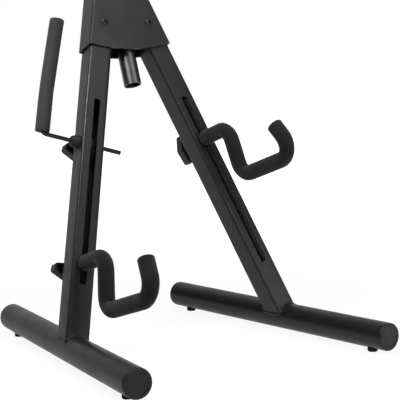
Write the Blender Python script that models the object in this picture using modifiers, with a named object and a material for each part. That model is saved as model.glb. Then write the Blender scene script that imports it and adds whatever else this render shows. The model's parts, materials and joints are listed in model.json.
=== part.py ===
"""Folding A-frame guitar rack.

Two slotted square legs stand on toed-out round feet and fold about pins in a pressed head.
Foam-covered cradles clamp in the leg slots, a side arm swings and slides through the left leg,
and a neck rest slides up and down through the head. Metres, +Z up, the front faces -Y.
"""
import math

import bmesh
import bpy
from mathutils import Matrix, Vector

# Frame angles
LEAN = math.radians(20.0)               # the plane of the legs leans back from the vertical
SPREAD = math.radians(16.8)             # each open leg stands out from the centre line

# Clearances
SEAT = 0.0003                           # between pieces that touch
HINGE_PLAY = 0.0008                     # between a leg and the head's walls
WELD = 0.00002                          # joins a curve's loose caps
CUT_WELD = 0.000001                     # joins the doubled points that cuts leave

# Legs
LEG_WIDTH = 0.0334
LEG_WALL = 0.002
LEG_CORNER = 0.004
LEG_LENGTH = 0.473                      # foot axis to head pivot
PIVOT_SPACING = 0.0736
SLOT_WIDTH = 0.0095
SLOT_BOTTOM = 0.084                     # heights are measured up the leg from the foot axis
SLOT_TOP = 0.353
SLOT_CORNER = 0.002

# Feet
FOOT_DIAMETER = 0.0381
FOOT_WALL = 0.002
FOOT_FRONT = 0.2025                     # leg axis to the tube's front end
FOOT_REAR = 0.2435
CAP_FLANGE = 0.0045
CAP_PLUG = 0.014
CAP_WALL = 0.0025
CAP_ROUND = 0.0022
CAP_RIM = 0.0046                        # width of the raised rim round the cap's face
CAP_RECESS = 0.0008
VENT_DIAMETER = 0.0042                  # notch at the foot of each leg's front wall
PAD_DIAMETER = 0.014
PAD_HEIGHT = 0.005
PAD_ROUND = 0.001
PAD_FRONT_INSET = 0.0265
PAD_REAR_INSET = 0.0275

# Head
SHEET = 0.0024
SHEET_BEND = 0.003
HEAD_SKIRT = 0.0318                     # pivot down to the lower corners
HEAD_BELLY = 0.0094                     # lower edge bows below its corners
HEAD_RISE = 0.103                       # pivot up to the top edge
SEAM_SHARE = 1.0 / 3.0                  # rear shell's part of the side walls
PIN_DIAMETER = 0.008
PIN_HEAD_DIAMETER = 0.011
PIN_HEAD_HEIGHT = 0.0014
PIN_EYE_DIAMETER = 0.003
PIN_EYE_DEPTH = 0.0012
BUSH_WALL = 0.0018

# Neck rest
NECK_DIAMETER = 0.0254
NECK_WALL = 0.0015
NECK_LENGTH = 0.457
NECK_DROP = 0.0898                      # pivot down to the tube's open end
SLEEVE_WALL = 0.0014
SLEEVE_DROP = 0.015                     # pivot down to the sleeve's lower end
SLEEVE_STICKOUT = 0.012                 # sleeve above the head
GUIDE_WALL = 0.0012
GUIDE_FLANGE = 0.004
GUIDE_LENGTH = 0.02
STEM_SPIGOT = 0.02
STEM_HEAD = 0.028
STEM_ROUND = 0.004
YOKE_HALF_WIDTH = 0.041
YOKE_REACH = 0.085
LOCK_BELOW_TOP = 0.022                  # head's top edge down to the lock screw

# Rods and foam
ROD_DIAMETER = 0.008
FOAM_DIAMETER = 0.022
FOAM_CAP = 0.004                        # foam past the rod's end
BEND_RADIUS = 0.0205

# Cradles
CRADLE_HEIGHTS = {"left": 0.1126, "right": 0.2843}
CRADLE_REACH = 0.0631                   # leg face to the drop
CRADLE_DROP = 0.0725
CRADLE_RUN = 0.1267
CRADLE_TIP = 0.0535
CRADLE_TIP_LEANS = {"left": math.radians(21.2), "right": math.radians(28.4)}
CRADLE_DROOP = math.radians(3.5)
CRADLE_TWISTS = {"left": math.radians(7.6), "right": math.radians(8.8)}  # turned inwards about the shank
WASHER_DIAMETER = 0.018
WASHER_THICKNESS = 0.0015
SPACER_DIAMETER = 0.014

# Side arm, on the left leg
ARM_HEIGHT = 0.2885
ARM_DIAMETER = 0.00635
ARM_STUB = 0.0484                       # leg centre to the rod's inner end
ARM_REACH = 0.0729                      # leg centre to the post
ARM_BEND = 0.008
ARM_LEAN = math.radians(6.4)            # post swung forward
POST_LENGTH = 0.1662                    # rod axis to the top of the foam
POST_START = 0.0038                     # rod axis to the foam's lower end
POST_FOAM_DIAMETER = 0.0203
COLLAR_DIAMETER = 0.019
COLLAR_HEIGHT = 0.0123
COLLAR_TIP_DIAMETER = 0.0095
BUSH_SPIGOT_DIAMETER = 0.013
BUSH_FLANGE = 0.0015
BUSH_FLANGE_DIAMETER = 0.017
EYE_DIAMETER = 0.016
EYE_LENGTH = 0.021

# Bar knobs
KNOB_TIP = 0.0223                       # axis to the bar's flat ends
KNOB_SIDE = 0.0119                      # axis to the widest point of the bar's sides
KNOB_END = 0.0051                       # half the width of a flat end
KNOB_CORNER = 0.0032
KNOB_WAIST = 0.008                      # rounding at the widest point
KNOB_HUB_DIAMETER = 0.016
KNOB_STANDOFF = 0.0114                  # seat to the bar's hollow underside
KNOB_THICKNESS = 0.014
KNOB_WALL = 0.0026
KNOB_FLOOR = 0.004
KNOB_ROUND = 0.002
KNOB_BORE_DEPTH = 0.019
KNOB_TURNS = {                          # each bar's angle across the leg, about the knob's own axis
    "left_cradle": math.radians(-8.8),
    "right_cradle": math.radians(79.6),
    "arm": math.radians(-9.3),
    "neck": math.radians(0.0),
}
NUT_DIAMETER = 0.016
NUT_HEIGHT = 0.006

# Facets
TUBE_SIDES = 32
TURN_STEPS = 24
RING_STEPS = 16
ROD_SIDES = 8
FOAM_SIDES = 12
BEND_STEPS = 4
CORNER_STEPS = 3
RIM_STEPS = 2
ARC_STEPS = 12

# Worked out from the sizes above
FOOT_RADIUS = FOOT_DIAMETER / 2
HALF_LEG = LEG_WIDTH / 2
HALF_PIVOT = PIVOT_SPACING / 2
PIVOT_RISE = LEG_LENGTH * math.cos(SPREAD)
FOOT_AXIS_HEIGHT = FOOT_RADIUS + PAD_HEIGHT
FOOT_TILT = math.atan(math.tan(LEAN) / math.cos(SPREAD))
FOOT_ROLL = math.asin(math.sin(SPREAD) * math.cos(LEAN))
HEAD_INSIDE = HALF_LEG + HINGE_PLAY
HEAD_OUTSIDE = HEAD_INSIDE + SHEET
SEAM = -HEAD_OUTSIDE + SEAM_SHARE * 2 * HEAD_OUTSIDE
ROD_RADIUS = ROD_DIAMETER / 2
FOAM_RADIUS = FOAM_DIAMETER / 2
ARM_RADIUS = ARM_DIAMETER / 2
SLEEVE_RADIUS = HEAD_INSIDE - HINGE_PLAY
SLEEVE_BORE = SLEEVE_RADIUS - SLEEVE_WALL
NECK_RADIUS = NECK_DIAMETER / 2
NECK_TOP = NECK_LENGTH - NECK_DROP
YOKE_RISE = NECK_TOP + SEAT + STEM_HEAD / 2
WASHER_SEAT = HALF_LEG + SEAT
KNOB_SEAT = WASHER_SEAT + WASHER_THICKNESS + SEAT
LOCK_SEAT = HEAD_OUTSIDE + SEAT + NUT_HEIGHT + SEAT
SIDES = {"left": -1, "right": 1}

POWDER_COAT = ((0.052, 0.050, 0.054), 0.5, 0.0)
FOOT_COAT = ((0.045, 0.043, 0.045), 0.45, 0.0)
DARK_CHROME = ((0.35, 0.34, 0.33), 0.18, 1.0)
STEEL = ((0.45, 0.45, 0.46), 0.35, 1.0)
BLACK_ROD = ((0.03, 0.03, 0.031), 0.4, 0.0)
BLACK_PLASTIC = ((0.028, 0.027, 0.028), 0.5, 0.0)
RUBBER = ((0.015, 0.015, 0.015), 0.8, 0.0)
FOAM = ((0.024, 0.024, 0.022), 0.95, 0.0)

for old in list(bpy.data.objects):
    bpy.data.objects.remove(old, do_unlink=True)
PARTS = bpy.data.collections.new("guitar_rack")
CUTTERS = bpy.data.collections.new("guitar_rack_cutters")
for group in (PARTS, CUTTERS):
    bpy.context.scene.collection.children.link(group)


# Frames and finishes

def frame(name, parent=None, location=(0, 0, 0), turn=(0, 0, 0)):
    """An empty that carries pieces; a moving body's frame sits on its joint."""
    empty = bpy.data.objects.new(name, None)
    empty.empty_display_size = 0.03
    PARTS.objects.link(empty)
    empty.parent = parent
    empty.location = location
    empty.rotation_euler = turn
    return empty


def part(name, mesh, carrier, look):
    """Put a finished mesh on its frame as one named piece with its own material."""
    piece = bpy.data.objects.new(name, mesh)
    mesh.name = name
    PARTS.objects.link(piece)
    piece.parent = carrier
    material = bpy.data.materials.new(name)
    material.use_nodes = True
    shader = material.node_tree.nodes["Principled BSDF"]
    colour, roughness, metallic = look
    shader.inputs["Base Color"].default_value = (*colour, 1.0)
    shader.inputs["Roughness"].default_value = roughness
    shader.inputs["Metallic"].default_value = metallic
    mesh.materials.append(material)
    mesh.shade_smooth()
    mesh.set_sharp_from_angle(angle=math.radians(35))
    return piece


def boolean(target, mesh, operation="DIFFERENCE", carrier=None):
    """Cut a piece with, or join it to, a shape given in the piece's own frame."""
    tool = bpy.data.objects.new(target.name + "_tool", mesh)
    CUTTERS.objects.link(tool)
    tool.parent = carrier or target.parent
    tool.hide_render = True
    tool.display_type = "WIRE"
    modifier = target.modifiers.new(operation.lower(), "BOOLEAN")
    modifier.operation = operation
    modifier.object = tool
    return tool


def join_doubles(piece):
    """Join the points that a row of cuts leaves on top of each other."""
    modifier = piece.modifiers.new("joined_points", "WELD")
    modifier.merge_threshold = CUT_WELD


def bevel(piece, width, segments, angle):
    modifier = piece.modifiers.new("rounding", "BEVEL")
    modifier.width = width
    modifier.segments = segments
    modifier.limit_method = "ANGLE"
    modifier.angle_limit = angle


# Shapes

ALONG_X = Matrix.Rotation(math.pi / 2, 4, "Y")
ALONG_Y = Matrix.Rotation(-math.pi / 2, 4, "X")
ALONG_Z = Matrix.Identity(4)


def moved(x, y, z):
    return Matrix.Translation((x, y, z))


def cylinder(radius, start, end, axis=ALONG_Z, sides=TURN_STEPS):
    """A closed cylinder between two distances along its axis."""
    work = bmesh.new()
    bmesh.ops.create_cone(
        work, cap_ends=True, segments=sides, radius1=radius, radius2=radius, depth=end - start)
    work.transform(axis @ moved(0, 0, (start + end) / 2))
    mesh = bpy.data.meshes.new("cylinder")
    work.to_mesh(mesh)
    work.free()
    return mesh


def block(size, matrix=ALONG_Z):
    work = bmesh.new()
    bmesh.ops.create_cube(work, size=1.0)
    bmesh.ops.scale(work, vec=size, verts=work.verts)
    work.transform(matrix)
    mesh = bpy.data.meshes.new("block")
    work.to_mesh(mesh)
    work.free()
    return mesh


def baked(source, matrix=ALONG_Z):
    """The evaluated mesh of a curve or of a profile with modifiers, with loose caps joined."""
    bpy.context.scene.collection.objects.link(source)
    graph = bpy.context.evaluated_depsgraph_get()
    mesh = bpy.data.meshes.new_from_object(source.evaluated_get(graph))
    data = source.data
    bpy.data.objects.remove(source)
    bpy.data.batch_remove([data])
    work = bmesh.new()
    work.from_mesh(mesh)
    bmesh.ops.remove_doubles(work, verts=work.verts, dist=WELD)
    bmesh.ops.recalc_face_normals(work, faces=work.faces)
    work.transform(matrix)
    work.to_mesh(mesh)
    work.free()
    return mesh


def turned(profile, axis=ALONG_Z, steps=TURN_STEPS):
    """Turn a profile of (radius, height) points, top to bottom, about an axis."""
    mesh = bpy.data.meshes.new("profile")
    mesh.from_pydata([(r, 0, z) for r, z in profile], [(i, i + 1) for i in range(len(profile) - 1)], [])
    source = bpy.data.objects.new("profile", mesh)
    screw = source.modifiers.new("turn", "SCREW")
    screw.steps = steps
    screw.render_steps = steps
    screw.use_merge_vertices = True
    screw.merge_threshold = WELD
    return baked(source, axis)


def plate(outline, thickness, matrix=ALONG_Z):
    """A flat outline given its thickness, half to each side."""
    curve = bpy.data.curves.new("outline", "CURVE")
    curve.dimensions = "2D"
    curve.fill_mode = "BOTH"
    curve.extrude = thickness / 2
    spline = curve.splines.new("POLY")
    spline.points.add(len(outline) - 1)
    for knot, (x, y) in zip(spline.points, outline):
        knot.co = (x, y, 0, 1)
    spline.use_cyclic_u = True
    return baked(bpy.data.objects.new("outline", curve), matrix)


def swept(path, radius, sides):
    """A round rod along a path."""
    curve = bpy.data.curves.new("path", "CURVE")
    curve.dimensions = "3D"
    curve.bevel_depth = radius
    curve.bevel_resolution = (sides - 4) // 2
    curve.use_fill_caps = True
    spline = curve.splines.new("POLY")
    spline.points.add(len(path) - 1)
    for knot, place in zip(spline.points, path):
        knot.co = (*place, 1)
    return baked(bpy.data.objects.new("path", curve))


def rounded_rectangle(width, height, radius):
    outline = []
    for quarter in range(4):
        middle = math.pi / 4 + quarter * math.pi / 2
        centre_x = math.copysign(width / 2 - radius, math.cos(middle))
        centre_y = math.copysign(height / 2 - radius, math.sin(middle))
        for step in range(CORNER_STEPS + 1):
            angle = (quarter + step / CORNER_STEPS) * math.pi / 2
            outline.append((centre_x + radius * math.cos(angle), centre_y + radius * math.sin(angle)))
    return outline


def bent(corners, radius, steps=BEND_STEPS):
    """Points along straight runs with an arc of one radius at each corner."""
    corners = [Vector(corner) for corner in corners]
    path = [corners[0]]
    for before, corner, after in zip(corners, corners[1:], corners[2:]):
        back = (before - corner).normalized()
        ahead = (after - corner).normalized()
        half = back.angle(ahead) / 2
        centre = corner + (back + ahead).normalized() * radius / math.sin(half)
        first = corner + back * radius / math.tan(half) - centre
        last = corner + ahead * radius / math.tan(half) - centre
        sweep = first.angle(last)
        for step in range(steps + 1):
            share = step / steps
            path.append(centre + (first * math.sin((1 - share) * sweep) + last * math.sin(share * sweep))
                        / math.sin(sweep))
    path.append(corners[-1])
    return path


def lengthened(path, start, end):
    """The same path with its ends moved out by the given lengths, or in where they are negative."""
    longer = [Vector(place) for place in path]
    longer[0] += (longer[0] - longer[1]).normalized() * start
    longer[-1] += (longer[-1] - longer[-2]).normalized() * end
    return longer


def sleeve(name, path, outside, core, carrier, closed_end):
    """Foam round a rod that stops short of the sleeve's closed far end."""
    foam = part(name, swept(path, outside, FOAM_SIDES), carrier, FOAM)
    boolean(foam, swept(lengthened(path, outside, SEAT - closed_end), core + SEAT, ROD_SIDES))
    return foam


def ring(name, outside, inside, start, end, carrier, look, axis=ALONG_Z, steps=RING_STEPS):
    """A washer, bush or tube between two distances along its axis."""
    profile = [(inside, end), (outside, end), (outside, start), (inside, start), (inside, end)]
    return part(name, turned(profile, axis, steps), carrier, look)


# Pieces

def leg(side, carrier, pin_hole):
    """Square tube, coped onto the foot, slotted front and back and rounded over at its pivot."""
    reach = LEG_LENGTH + LEG_WIDTH
    centre = HALF_LEG / 2 - LEG_LENGTH / 2
    upright = moved(0, centre, 0) @ ALONG_Y
    length = LEG_LENGTH + HALF_LEG
    outline = rounded_rectangle(LEG_WIDTH, LEG_WIDTH, LEG_CORNER)
    tube = part(side + "_leg_tube", plate(outline, length, upright), carrier, POWDER_COAT)
    bore = LEG_WIDTH - 2 * LEG_WALL
    boolean(tube, plate(rounded_rectangle(bore, bore, LEG_CORNER - LEG_WALL), 2 * reach, upright))
    slot = rounded_rectangle(SLOT_WIDTH, SLOT_TOP - SLOT_BOTTOM, SLOT_CORNER)
    slot_middle = (SLOT_TOP + SLOT_BOTTOM) / 2 - LEG_LENGTH
    boolean(tube, plate(slot, 2 * LEG_WIDTH, moved(0, slot_middle, 0)))
    boolean(tube, cylinder(pin_hole, -LEG_WIDTH, LEG_WIDTH))
    crown = boolean(tube, block((2 * LEG_WIDTH, LEG_WIDTH, 2 * LEG_WIDTH), moved(0, HALF_LEG, 0)))
    boolean(crown, cylinder(HALF_LEG - SEAT, -2 * LEG_WIDTH, 2 * LEG_WIDTH, sides=TUBE_SIDES))
    return tube


def foot(side, carrier, tube):
    """Round foot tube with its end caps and pads; local Z runs to the front end."""
    axis = frame(side + "_foot_axis", carrier, (0, -LEG_LENGTH, 0), (FOOT_TILT, 0, 0))
    boolean(tube, cylinder(FOOT_RADIUS + SEAT, -FOOT_REAR, FOOT_FRONT, sides=TUBE_SIDES), carrier=axis)
    vent_rise = FOOT_RADIUS / math.cos(FOOT_TILT) - HALF_LEG * math.tan(FOOT_TILT)
    vent = cylinder(VENT_DIAMETER / 2, 0, LEG_WIDTH, sides=RING_STEPS)
    vent.transform(moved(0, vent_rise - LEG_LENGTH, 0))
    boolean(tube, vent)
    bore = FOOT_RADIUS - FOOT_WALL
    body = part(side + "_foot_tube", cylinder(FOOT_RADIUS, -FOOT_REAR, FOOT_FRONT, sides=TUBE_SIDES),
                axis, FOOT_COAT)
    boolean(body, cylinder(bore, -2 * FOOT_REAR, 2 * FOOT_FRONT, sides=TUBE_SIDES))

    plug = bore - SEAT
    face = SEAT + CAP_FLANGE
    recess = FOOT_RADIUS - CAP_RIM
    profile = [(0, face - CAP_RECESS), (recess - CAP_RECESS, face - CAP_RECESS), (recess, face)]
    for step in range(RIM_STEPS + 1):
        angle = step / RIM_STEPS * math.pi / 2
        radius = FOOT_RADIUS - CAP_ROUND * (1 - math.sin(angle))
        profile.append((radius, face - CAP_ROUND * (1 - math.cos(angle))))
    profile += [(FOOT_RADIUS, SEAT), (plug, SEAT), (plug, -CAP_PLUG), (plug - CAP_WALL, -CAP_PLUG),
                (plug - CAP_WALL, 0), (0, 0)]
    front = moved(0, 0, FOOT_FRONT)
    rear = moved(0, 0, -FOOT_REAR) @ Matrix.Rotation(math.pi, 4, "Y")
    part(side + "_foot_front_cap", turned(profile, front), axis, BLACK_PLASTIC)
    part(side + "_foot_rear_cap", turned(profile, rear), axis, BLACK_PLASTIC)

    upright = frame(side + "_foot_upright", axis, turn=(0, 0, -SIDES[side] * FOOT_ROLL))
    pad_radius = PAD_DIAMETER / 2
    floor = -FOOT_AXIS_HEIGHT
    shoulder = floor + PAD_HEIGHT + FOOT_WALL
    pad = [(0, shoulder), (pad_radius, shoulder), (pad_radius, floor + PAD_ROUND),
           (pad_radius - PAD_ROUND, floor), (0, floor)]
    for end, place in (("front", FOOT_FRONT - PAD_FRONT_INSET), ("rear", PAD_REAR_INSET - FOOT_REAR)):
        stand = moved(0, 0, place) @ ALONG_Y
        rubber = part(f"{side}_{end}_pad", turned(pad, stand, RING_STEPS), upright, RUBBER)
        boolean(rubber, cylinder(FOOT_RADIUS + SEAT, -FOOT_REAR, FOOT_FRONT, sides=TUBE_SIDES))


def knob(name, carrier, seat, turn):
    """Bar knob with a hollow underside, a hub and a blind bore; it faces away from the front."""
    axis = frame(name + "_axis", carrier, (0, 0, -seat), (0, math.pi, turn))
    taper = math.atan2(KNOB_SIDE - KNOB_END, KNOB_TIP)

    def outline(inset, radius):
        """Six-sided bar with rounded corners, widest in the middle, drawn in by the wall for its pocket."""
        tip = KNOB_TIP - inset
        side = KNOB_SIDE - inset / math.cos(taper)
        end = side - tip * math.tan(taper)
        corner = bent([(tip, 0, 0), (tip, end, 0), (0, side, 0)], radius, CORNER_STEPS)[1:-1]
        waist = bent([(tip, end, 0), (0, side, 0), (-tip, end, 0)], KNOB_WAIST, CORNER_STEPS)[1:-1]
        half = [(place.x, place.y) for place in corner + waist]
        half += [(-place.x, place.y) for place in reversed(corner)]
        return half + [(-x, -y) for x, y in half]

    top = KNOB_STANDOFF + KNOB_THICKNESS
    hub = KNOB_HUB_DIAMETER / 2
    bar = plate(outline(0, KNOB_CORNER), KNOB_THICKNESS, moved(0, 0, top - KNOB_THICKNESS / 2))
    piece = part(name, bar, axis, BLACK_PLASTIC)
    bevel(piece, KNOB_ROUND, 2, math.radians(60))
    hollow = KNOB_THICKNESS - KNOB_FLOOR
    pocket_middle = KNOB_STANDOFF + hollow / 2 - KNOB_THICKNESS / 2
    inside = outline(KNOB_WALL, KNOB_CORNER / 2)
    pocket = boolean(piece, plate(inside, hollow + KNOB_THICKNESS, moved(0, 0, pocket_middle)))
    boolean(pocket, cylinder(hub - SEAT, -KNOB_THICKNESS, 2 * top, sides=RING_STEPS))
    boolean(piece, cylinder(hub, 0, top - KNOB_FLOOR / 2, sides=RING_STEPS), "UNION")
    boolean(piece, cylinder(ROD_RADIUS + SEAT, -KNOB_THICKNESS, KNOB_BORE_DEPTH, sides=RING_STEPS))


def cradle(side, leg_frame):
    """Slider, bent rod, foam and knob; the rod's shank runs straight through the leg's slots."""
    name = side + "_cradle"
    slider = frame(name + "_slider", leg_frame, (0, CRADLE_HEIGHTS[side] - LEG_LENGTH, 0))
    rod_hole = ROD_RADIUS + SEAT
    inside = HALF_LEG - LEG_WALL - SEAT
    washer_end = WASHER_SEAT + WASHER_THICKNESS
    ring(name + "_spacer", SPACER_DIAMETER / 2, rod_hole, -inside, inside, slider, BLACK_PLASTIC)
    ring(name + "_front_washer", WASHER_DIAMETER / 2, rod_hole, WASHER_SEAT, washer_end, slider, STEEL)
    ring(name + "_rear_washer", WASHER_DIAMETER / 2, rod_hole, -washer_end, -WASHER_SEAT, slider, STEEL)

    shank = frame(name + "_shank", slider, turn=(0, 0, -SIDES[side] * CRADLE_TWISTS[side]))
    droop = Matrix.Translation((0, 0, HALF_LEG)) @ Matrix.Rotation(CRADLE_DROOP, 4, "X")
    reach = CRADLE_REACH + CRADLE_RUN
    lean = CRADLE_TIP_LEANS[side]
    tip = Vector((0, math.cos(lean), -math.sin(lean))) * CRADLE_TIP
    corners = [(0, 0, 0), (0, 0, CRADLE_REACH), (0, -CRADLE_DROP, CRADLE_REACH), (0, -CRADLE_DROP, reach),
               Vector((0, -CRADLE_DROP, reach)) + tip]
    path = bent([droop @ Vector(corner) for corner in corners], BEND_RADIUS)
    foam_start = washer_end + SEAT - HALF_LEG + FOAM_RADIUS * math.sin(CRADLE_DROOP)
    covered = lengthened(path, -foam_start, 0)
    sleeve(name + "_foam", covered, FOAM_RADIUS, ROD_RADIUS, shank, FOAM_CAP)
    shank_end = KNOB_SEAT + KNOB_BORE_DEPTH - SEAT
    rod = [Vector((0, 0, -shank_end))] + lengthened(path, 0, -FOAM_CAP)
    part(name + "_rod", swept(rod, ROD_RADIUS, ROD_SIDES), shank, BLACK_ROD)
    knob(name + "_knob", shank, KNOB_SEAT, KNOB_TURNS[name] + SIDES[side] * CRADLE_TWISTS[side])


def side_arm(leg_frame, tube):
    """Rod through the left leg, its collar and bush, the eye bolt that clamps it, and the foam post."""
    across = frame("arm_axis", leg_frame, (0, ARM_HEIGHT - LEG_LENGTH, 0))
    spigot = BUSH_SPIGOT_DIAMETER / 2
    rod_hole = ARM_RADIUS + SEAT
    boolean(tube, cylinder(spigot + SEAT, -LEG_WIDTH, LEG_WIDTH, ALONG_X), carrier=across)
    inside = HALF_LEG - LEG_WALL
    face = HALF_LEG + SEAT
    flange = BUSH_FLANGE_DIAMETER / 2
    bush = [(rod_hole, face + BUSH_FLANGE), (flange, face + BUSH_FLANGE), (flange, face), (spigot, face),
            (spigot, inside), (rod_hole, inside), (rod_hole, face + BUSH_FLANGE)]
    part("arm_inner_bush", turned(bush, ALONG_X, RING_STEPS), across, BLACK_PLASTIC)

    eye_front = EYE_LENGTH - inside + SEAT
    bolt_end = KNOB_SEAT + KNOB_BORE_DEPTH - SEAT
    eye = EYE_DIAMETER / 2
    bolt = [(0, eye_front), (eye, eye_front), (eye, -inside + SEAT), (ROD_RADIUS, -inside + SEAT),
            (ROD_RADIUS, -bolt_end), (0, -bolt_end)]
    clamp = part("arm_eye_bolt", turned(bolt, steps=RING_STEPS), across, BLACK_ROD)
    boolean(clamp, cylinder(rod_hole, -EYE_DIAMETER, EYE_DIAMETER, ALONG_X))
    washer_end = WASHER_SEAT + WASHER_THICKNESS
    ring("arm_washer", WASHER_DIAMETER / 2, ROD_RADIUS + SEAT, -washer_end, -WASHER_SEAT, across, STEEL)
    knob("arm_knob", across, KNOB_SEAT, KNOB_TURNS["arm"])

    swing = frame("arm_swing", across, turn=(ARM_LEAN, 0, 0))
    dome = [(rod_hole, COLLAR_HEIGHT), (COLLAR_TIP_DIAMETER / 2, COLLAR_HEIGHT)]
    spread = COLLAR_DIAMETER / 2 - COLLAR_TIP_DIAMETER / 2
    for step in range(1, CORNER_STEPS + 1):
        angle = step / CORNER_STEPS * math.pi / 2
        dome.append((COLLAR_TIP_DIAMETER / 2 + spread * math.sin(angle), COLLAR_HEIGHT * math.cos(angle)))
    dome = [(radius, face + height) for radius, height in dome]
    collar = dome + [(spigot, face), (spigot, inside), (rod_hole, inside), dome[0]]
    part("arm_collar", turned(collar, ALONG_X @ Matrix.Rotation(math.pi, 4, "Y")), swing, BLACK_PLASTIC)

    corners = [(ARM_STUB, 0, 0), (-ARM_REACH, 0, 0), (-ARM_REACH, POST_LENGTH - FOAM_CAP, 0)]
    path = bent(corners, ARM_BEND)
    part("arm_rod", swept(path, ARM_RADIUS, ROD_SIDES), swing, BLACK_ROD)
    post = cylinder(POST_FOAM_DIAMETER / 2, POST_START, POST_LENGTH, ALONG_Y, 2 * FOAM_SIDES)
    post.transform(moved(-ARM_REACH, 0, 0))
    foam = part("arm_foam", post, swing, FOAM)
    boolean(foam, swept(lengthened(path, 0, SEAT), rod_hole, ROD_SIDES))


def head_outline(offset):
    """Lower bow from left to right, then the top corners; the sides follow the open legs."""
    skirt = PIVOT_RISE - HEAD_SKIRT
    top = PIVOT_RISE + HEAD_RISE

    def half_width(rise):
        return HALF_PIVOT + offset / math.cos(SPREAD) - (rise - PIVOT_RISE) * math.tan(SPREAD)

    width = half_width(skirt)
    outline = []
    for step in range(ARC_STEPS + 1):
        share = 2 * step / ARC_STEPS - 1
        outline.append((share * width, skirt - HEAD_BELLY * (1 - share * share)))
    return outline + [(half_width(top), top), (-half_width(top), top)]


def head_shell(name, face, flange_end, plane):
    """Pressed tray: a flat face with bent side and top walls, made as a surface with thickness."""
    outline = head_outline(HEAD_OUTSIDE)
    work = bmesh.new()
    rim = [work.verts.new((x, y, face)) for x, y in outline]
    panel = work.faces.new(rim)
    first = ARC_STEPS
    bends = [work.edges.get((rim[i], rim[(i + 1) % len(rim)])) for i in range(first, len(rim))]
    walls = bmesh.ops.extrude_edge_only(work, edges=bends)["geom"]
    bmesh.ops.translate(work, vec=(0, 0, flange_end - face),
                        verts=[item for item in walls if isinstance(item, bmesh.types.BMVert)])
    bmesh.ops.recalc_face_normals(work, faces=work.faces)
    if panel.normal.z * face < 0:
        bmesh.ops.reverse_faces(work, faces=work.faces)
    mesh = bpy.data.meshes.new(name)
    work.to_mesh(mesh)
    work.free()
    shell = part(name, mesh, plane, POWDER_COAT)
    bevel(shell, SHEET_BEND, 3, math.radians(50))
    wall = shell.modifiers.new("sheet", "SOLIDIFY")
    wall.thickness = SHEET
    wall.offset = -1.0
    wall.use_even_offset = True
    sleeve_hole = SLEEVE_RADIUS + SEAT
    boolean(shell, cylinder(sleeve_hole, PIVOT_RISE, PIVOT_RISE + 2 * HEAD_RISE, ALONG_Y, TUBE_SIDES))
    for sign in SIDES.values():
        hole = cylinder(PIN_DIAMETER / 2 + SEAT, -LEG_WIDTH, LEG_WIDTH)
        hole.transform(moved(sign * HALF_PIVOT, PIVOT_RISE, 0))
        boolean(shell, hole)
    return shell


def head(plane):
    """Two shells, the pivot pins and bushes, and the guide sleeve for the neck tube."""
    head_shell("head_front_shell", HEAD_OUTSIDE, SEAM + SEAT / 2, plane)
    rear = head_shell("head_rear_shell", -HEAD_OUTSIDE, SEAM - SEAT / 2, plane)
    pin = PIN_DIAMETER / 2
    rim = PIN_HEAD_DIAMETER / 2
    eye = PIN_EYE_DIAMETER / 2
    under = HEAD_OUTSIDE + SEAT
    crown = under + PIN_HEAD_HEIGHT
    dome = (rim + eye) / 2
    profile = [(0, crown - PIN_EYE_DEPTH), (eye, crown - PIN_EYE_DEPTH), (eye, crown), (dome, crown),
               (rim, under + PIN_HEAD_HEIGHT / 3), (rim, under), (pin, under), (pin, -under), (rim, -under),
               (rim, -under - PIN_HEAD_HEIGHT / 3), (dome, -crown), (0, -crown)]
    for side, sign in SIDES.items():
        pivot = frame(side + "_pin_axis", plane, (sign * HALF_PIVOT, PIVOT_RISE, 0))
        part(side + "_pivot_pin", turned(profile, steps=RING_STEPS), pivot, POWDER_COAT)
        ring(side + "_pivot_bush", pin + SEAT + BUSH_WALL, pin + SEAT, SEAT - HEAD_INSIDE, HEAD_INSIDE - SEAT,
             pivot, STEEL)

    pivots = frame("guide_axis", plane, (0, PIVOT_RISE, 0))
    sleeve_top = HEAD_RISE + SLEEVE_STICKOUT
    body = ring("guide_sleeve", SLEEVE_RADIUS, SLEEVE_BORE, -SLEEVE_DROP, sleeve_top, pivots,
                POWDER_COAT, ALONG_Y, TUBE_SIDES)
    outside = SLEEVE_BORE - SEAT
    bore = outside - GUIDE_WALL
    guide = [(bore, GUIDE_FLANGE), (SLEEVE_RADIUS, GUIDE_FLANGE), (SLEEVE_RADIUS, SEAT), (outside, SEAT),
             (outside, -GUIDE_LENGTH), (bore, -GUIDE_LENGTH), (bore, GUIDE_FLANGE)]
    seated = moved(0, sleeve_top, 0) @ ALONG_Y
    part("upper_guide_bush", turned(guide, seated, RING_STEPS), pivots, BLACK_PLASTIC)
    upside_down = ALONG_Y @ Matrix.Rotation(math.pi, 4, "X")
    hung = moved(0, -SLEEVE_DROP, 0) @ upside_down
    part("lower_guide_bush", turned(guide, hung, RING_STEPS), pivots, BLACK_PLASTIC)

    lock = frame("neck_lock_axis", plane, (0, PIVOT_RISE + HEAD_RISE - LOCK_BELOW_TOP, 0))
    for piece in (rear, body):
        boolean(piece, cylinder(ROD_RADIUS + SEAT, -LOCK_SEAT, -NECK_RADIUS), carrier=lock)
    ring("lock_nut", NUT_DIAMETER / 2, ROD_RADIUS + SEAT, -HEAD_OUTSIDE - SEAT - NUT_HEIGHT,
         -HEAD_OUTSIDE - SEAT, lock, STEEL)
    screw = cylinder(ROD_RADIUS, -LOCK_SEAT - KNOB_BORE_DEPTH + SEAT, -NECK_RADIUS - SEAT)
    part("neck_lock_screw", screw, lock, STEEL)
    knob("neck_knob", lock, LOCK_SEAT, KNOB_TURNS["neck"])


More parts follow.
